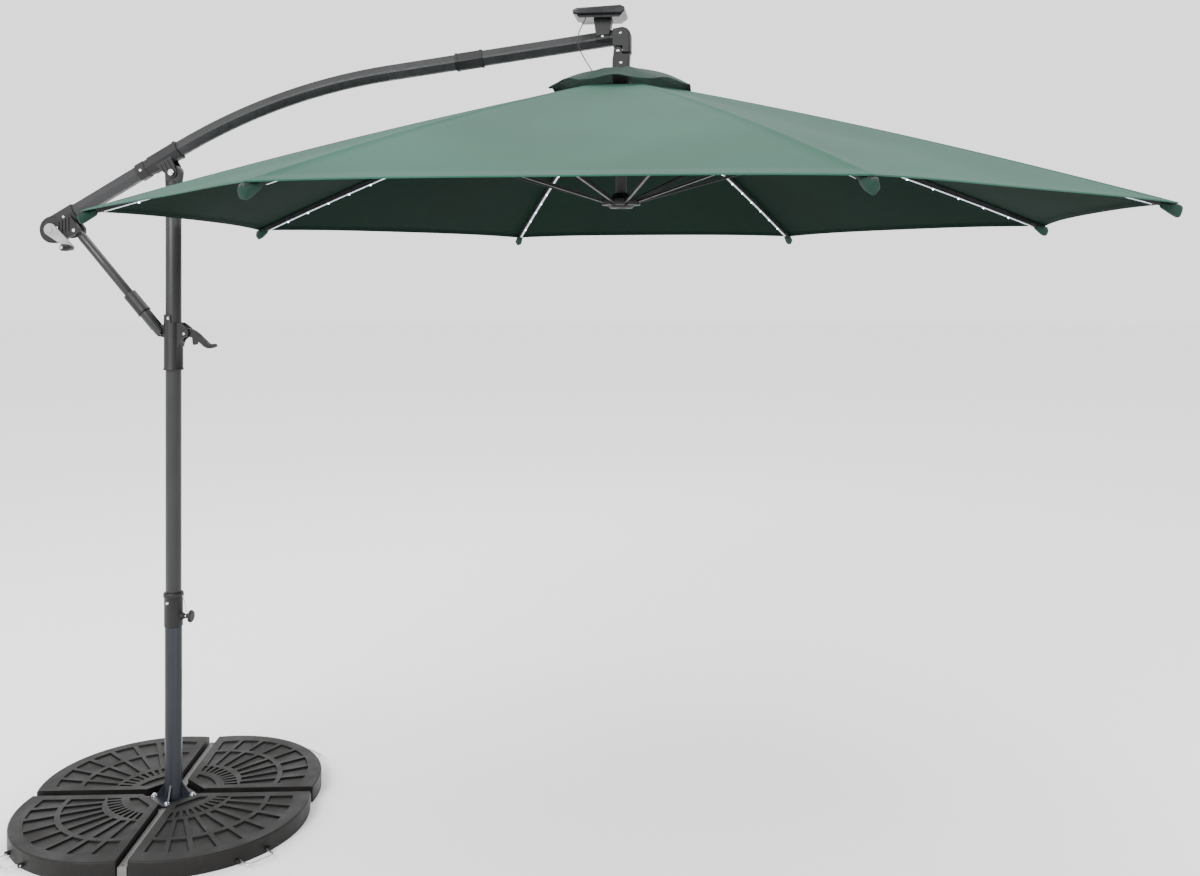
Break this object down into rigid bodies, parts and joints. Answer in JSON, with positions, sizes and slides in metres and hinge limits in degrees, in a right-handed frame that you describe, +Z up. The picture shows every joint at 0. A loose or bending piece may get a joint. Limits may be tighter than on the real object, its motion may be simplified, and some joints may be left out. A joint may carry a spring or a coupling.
{
  "type": "cantilever patio umbrella with tiled base",
  "caption": "Offset patio umbrella: a tilting boom on a swivelling mast carries a folding octagonal canopy over a cross base loaded with fan-shaped tiles.",
  "frame": {"origin": "on the floor at the mast's axis, on the underside of the cross frame", "axes": "+Z up along the mast; +X along the boom towards the canopy; +Y to the left of the boom"},
  "size_m": [3.2668, 2.7902, 2.484],
  "materials": {
    "charcoal_steel": "satin",
    "blue_black_steel": "satin",
    "cross_steel": "satin",
    "cast_tile": "matte",
    "black_plastic": "matte",
    "grey_plastic": "satin",
    "bright_steel": "polished",
    "wire": "satin",
    "lanyard": "matte",
    "cable": "matte",
    "green_cloth": "matte",
    "dark_green_cloth": "matte",
    "gloss_black": "gloss",
    "solar_glass": "gloss"
  },
  "bodies": {
    "base": {"cross_frame": "cross_steel", "base_weight_1": "cast_tile", "base_weight_2": "cast_tile", "base_weight_3": "cast_tile", "base_weight_4": "cast_tile", "lower_post": "blue_black_steel", "base_fasteners": "bright_steel", "post_collar": "black_plastic", "knob_lanyard": "lanyard"},
    "handle_1": {"weight_handle_1": "wire"},
    "handle_2": {"weight_handle_2": "wire"},
    "handle_3": {"weight_handle_3": "wire"},
    "handle_4": {"weight_handle_4": "wire"},
    "clamp_screw": {"clamp_screw": "bright_steel"},
    "clamp_knob": {"clamp_knob": "black_plastic"},
    "mast": {"upper_mast": "charcoal_steel", "mast_fork": "black_plastic", "boom_pivot_bolt": "bright_steel"},
    "slider": {"slider_body": "black_plastic", "slider_pins": "bright_steel"},
    "lever": {"slider_lever": "black_plastic"},
    "boom": {"boom_rear_tube": "charcoal_steel", "boom_front_tube": "charcoal_steel", "boom_tip_tube": "charcoal_steel", "boom_coupler": "black_plastic", "boom_bracket": "black_plastic", "crank_housing": "black_plastic", "boom_screws": "bright_steel", "boom_elbow": "black_plastic", "solar_bracket": "black_plastic", "solar_case": "gloss_black", "solar_cell": "solar_glass", "led_cable": "cable"},
    "strut": {"strut_tube": "charcoal_steel", "strut_sleeve": "black_plastic", "strut_foot": "charcoal_steel"},
    "crank": {"crank_arm": "grey_plastic"},
    "crank_grip": {"crank_knob": "black_plastic"},
    "canopy_link": {"canopy_link": "black_plastic", "link_screws": "bright_steel", "top_hub": "black_plastic", "vent_cap": "dark_green_cloth", "canopy": "green_cloth"},
    "rib_1": {"rib_1": "charcoal_steel"},
    "rib_2": {"rib_2": "charcoal_steel"},
    "rib_3": {"rib_3": "charcoal_steel"},
    "rib_4": {"rib_4": "charcoal_steel"},
    "rib_5": {"rib_5": "charcoal_steel"},
    "rib_6": {"rib_6": "charcoal_steel"},
    "rib_7": {"rib_7": "charcoal_steel"},
    "rib_8": {"rib_8": "charcoal_steel"},
    "stretcher_1": {"stretcher_1": "charcoal_steel"},
    "stretcher_2": {"stretcher_2": "charcoal_steel"},
    "stretcher_3": {"stretcher_3": "charcoal_steel"},
    "stretcher_4": {"stretcher_4": "charcoal_steel"},
    "stretcher_5": {"stretcher_5": "charcoal_steel"},
    "stretcher_6": {"stretcher_6": "charcoal_steel"},
    "stretcher_7": {"stretcher_7": "charcoal_steel"},
    "stretcher_8": {"stretcher_8": "charcoal_steel"},
    "runner": {"runner": "black_plastic"}
  },
  "joints": [
    {"name": "weight_handle_1", "type": "hinge", "parent": "base", "child": "handle_1", "pos_m": [0.28339, 0.38636, 0.014], "axis": [0.8063, -0.5915, 0], "range_deg": [0, 85]},
    {"name": "weight_handle_2", "type": "hinge", "parent": "base", "child": "handle_2", "pos_m": [-0.38636, 0.28339, 0.014], "axis": [0.5915, 0.8063, 0], "range_deg": [0, 85]},
    {"name": "weight_handle_3", "type": "hinge", "parent": "base", "child": "handle_3", "pos_m": [-0.28339, -0.38636, 0.014], "axis": [-0.8063, 0.5915, 0], "range_deg": [0, 85]},
    {"name": "weight_handle_4", "type": "hinge", "parent": "base", "child": "handle_4", "pos_m": [0.38636, -0.28339, 0.014], "axis": [-0.5915, -0.8063, 0], "range_deg": [0, 85]},
    {"name": "clamp_slide", "type": "slide", "parent": "base", "child": "clamp_screw", "axis": [1, 0, 0], "range_m": [0, 0.006]},
    {"name": "clamp_turn", "type": "hinge", "parent": "clamp_screw", "child": "clamp_knob", "pos_m": [0.05, 0, 0.605], "axis": [1, 0, 0], "continuous": true},
    {"name": "mast_swivel", "type": "hinge", "parent": "base", "child": "mast", "pos_m": [0, 0, 0.5], "axis": [0, 0, 1], "continuous": true},
    {"name": "boom_tilt", "type": "hinge", "parent": "mast", "child": "boom", "pos_m": [0.003, 0, 2.004], "axis": [0, -1, 0], "range_deg": [-5, 25]},
    {"name": "slider_travel", "type": "slide", "parent": "mast", "child": "slider", "axis": [0, 0, -1], "range_m": [-0.0388, 0.1936]},
    {"name": "strut_swing", "type": "hinge", "parent": "boom", "child": "strut", "pos_m": [-0.322, 0, 1.823], "axis": [0, 1, 0], "range_deg": [-8.4, 41.8]},
    {"name": "lever_squeeze", "type": "hinge", "parent": "slider", "child": "lever", "pos_m": [0.044, 0, 1.497], "axis": [0, 1, 0], "range_deg": [0, 25], "stiffness_Nm_per_rad": 1, "springref_deg": -14.32},
    {"name": "crank_turn", "type": "hinge", "parent": "boom", "child": "crank", "pos_m": [-0.396, -0.03, 1.826], "axis": [0, 1, 0], "continuous": true},
    {"name": "crank_grip_turn", "type": "hinge", "parent": "crank", "child": "crank_grip", "pos_m": [-0.323, -0.06, 1.767], "axis": [0, 1, 0], "continuous": true},
    {"name": "canopy_hang", "type": "hinge", "parent": "boom", "child": "canopy_link", "pos_m": [1.413, 0, 2.354], "axis": [0, 1, 0], "range_deg": [0, 4], "deforming": ["led_cable"]},
    {"name": "rib_fold_1", "type": "hinge", "parent": "canopy_link", "child": "rib_1", "pos_m": [1.46257, 0.01722, 2.235], "axis": [-0.3827, 0.9239, 0], "range_deg": [0, 72], "deforming": ["canopy"]},
    {"name": "stretcher_fold_1", "type": "hinge", "parent": "rib_1", "child": "stretcher_1", "pos_m": [2.00929, 0.24368, 2.06755], "axis": [0.3827, -0.9239, 0], "range_deg": [0, 144]},
    {"name": "rib_fold_2", "type": "hinge", "parent": "canopy_link", "child": "rib_2", "pos_m": [1.43822, 0.04157, 2.235], "axis": [-0.9239, 0.3827, 0], "range_deg": [0, 72]},
    {"name": "stretcher_fold_2", "type": "hinge", "parent": "rib_2", "child": "stretcher_2", "pos_m": [1.66468, 0.58829, 2.06755], "axis": [0.9239, -0.3827, 0], "range_deg": [0, 144]},
    {"name": "rib_fold_3", "type": "hinge", "parent": "canopy_link", "child": "rib_3", "pos_m": [1.40378, 0.04157, 2.235], "axis": [-0.9239, -0.3827, 0], "range_deg": [0, 72]},
    {"name": "stretcher_fold_3", "type": "hinge", "parent": "rib_3", "child": "stretcher_3", "pos_m": [1.17732, 0.58829, 2.06755], "axis": [0.9239, 0.3827, 0], "range_deg": [0, 144]},
    {"name": "rib_fold_4", "type": "hinge", "parent": "canopy_link", "child": "rib_4", "pos_m": [1.37943, 0.01722, 2.235], "axis": [-0.3827, -0.9239, 0], "range_deg": [0, 72]},
    {"name": "stretcher_fold_4", "type": "hinge", "parent": "rib_4", "child": "stretcher_4", "pos_m": [0.83271, 0.24368, 2.06755], "axis": [0.3827, 0.9239, 0], "range_deg": [0, 144]},
    {"name": "rib_fold_5", "type": "hinge", "parent": "canopy_link", "child": "rib_5", "pos_m": [1.37943, -0.01722, 2.235], "axis": [0.3827, -0.9239, 0], "range_deg": [0, 72]},
    {"name": "stretcher_fold_5", "type": "hinge", "parent": "rib_5", "child": "stretcher_5", "pos_m": [0.83271, -0.24368, 2.06755], "axis": [-0.3827, 0.9239, 0], "range_deg": [0, 144]},
    {"name": "rib_fold_6", "type": "hinge", "parent": "canopy_link", "child": "rib_6", "pos_m": [1.40378, -0.04157, 2.235], "axis": [0.9239, -0.3827, 0], "range_deg": [0, 72]},
    {"name": "stretcher_fold_6", "type": "hinge", "parent": "rib_6", "child": "stretcher_6", "pos_m": [1.17732, -0.58829, 2.06755], "axis": [-0.9239, 0.3827, 0], "range_deg": [0, 144]},
    {"name": "rib_fold_7", "type": "hinge", "parent": "canopy_link", "child": "rib_7", "pos_m": [1.43822, -0.04157, 2.235], "axis": [0.9239, 0.3827, 0], "range_deg": [0, 72]},
    {"name": "stretcher_fold_7", "type": "hinge", "parent": "rib_7", "child": "stretcher_7", "pos_m": [1.66468, -0.58829, 2.06755], "axis": [-0.9239, -0.3827, 0], "range_deg": [0, 144]},
    {"name": "rib_fold_8", "type": "hinge", "parent": "canopy_link", "child": "rib_8", "pos_m": [1.46257, -0.01722, 2.235], "axis": [0.3827, 0.9239, 0], "range_deg": [0, 72]},
    {"name": "stretcher_fold_8", "type": "hinge", "parent": "rib_8", "child": "stretcher_8", "pos_m": [2.00929, -0.24368, 2.06755], "axis": [-0.3827, -0.9239, 0], "range_deg": [0, 144]},
    {"name": "runner_lift", "type": "hinge", "parent": "stretcher_1", "child": "runner", "pos_m": [1.46257, 0.01722, 1.9001], "axis": [-0.3827, 0.9239, 0], "range_deg": [0, 72]}
  ],
  "couplings": [
    {"joint": "clamp_turn", "follows": "clamp_slide", "rad_per_m": -4188.8},
    {"joint": "slider_travel", "follows": "boom_tilt", "m_per_rad": 0.44342},
    {"joint": "strut_swing", "follows": "boom_tilt", "ratio": 1.6704},
    {"joint": "crank_turn", "follows": "rib_fold_1", "ratio": -37.5},
    {"joint": "runner_lift", "follows": "rib_fold_1", "ratio": 1},
    {"joint": "stretcher_fold_1", "follows": "rib_fold_1", "ratio": 2},
    {"joint": "rib_fold_2", "follows": "rib_fold_1", "ratio": 1},
    {"joint": "stretcher_fold_2", "follows": "rib_fold_1", "ratio": 2},
    {"joint": "rib_fold_3", "follows": "rib_fold_1", "ratio": 1},
    {"joint": "stretcher_fold_3", "follows": "rib_fold_1", "ratio": 2},
    {"joint": "rib_fold_4", "follows": "rib_fold_1", "ratio": 1},
    {"joint": "stretcher_fold_4", "follows": "rib_fold_1", "ratio": 2},
    {"joint": "rib_fold_5", "follows": "rib_fold_1", "ratio": 1},
    {"joint": "stretcher_fold_5", "follows": "rib_fold_1", "ratio": 2},
    {"joint": "rib_fold_6", "follows": "rib_fold_1", "ratio": 1},
    {"joint": "stretcher_fold_6", "follows": "rib_fold_1", "ratio": 2},
    {"joint": "rib_fold_7", "follows": "rib_fold_1", "ratio": 1},
    {"joint": "stretcher_fold_7", "follows": "rib_fold_1", "ratio": 2},
    {"joint": "rib_fold_8", "follows": "rib_fold_1", "ratio": 1},
    {"joint": "stretcher_fold_8", "follows": "rib_fold_1", "ratio": 2}
  ]
}
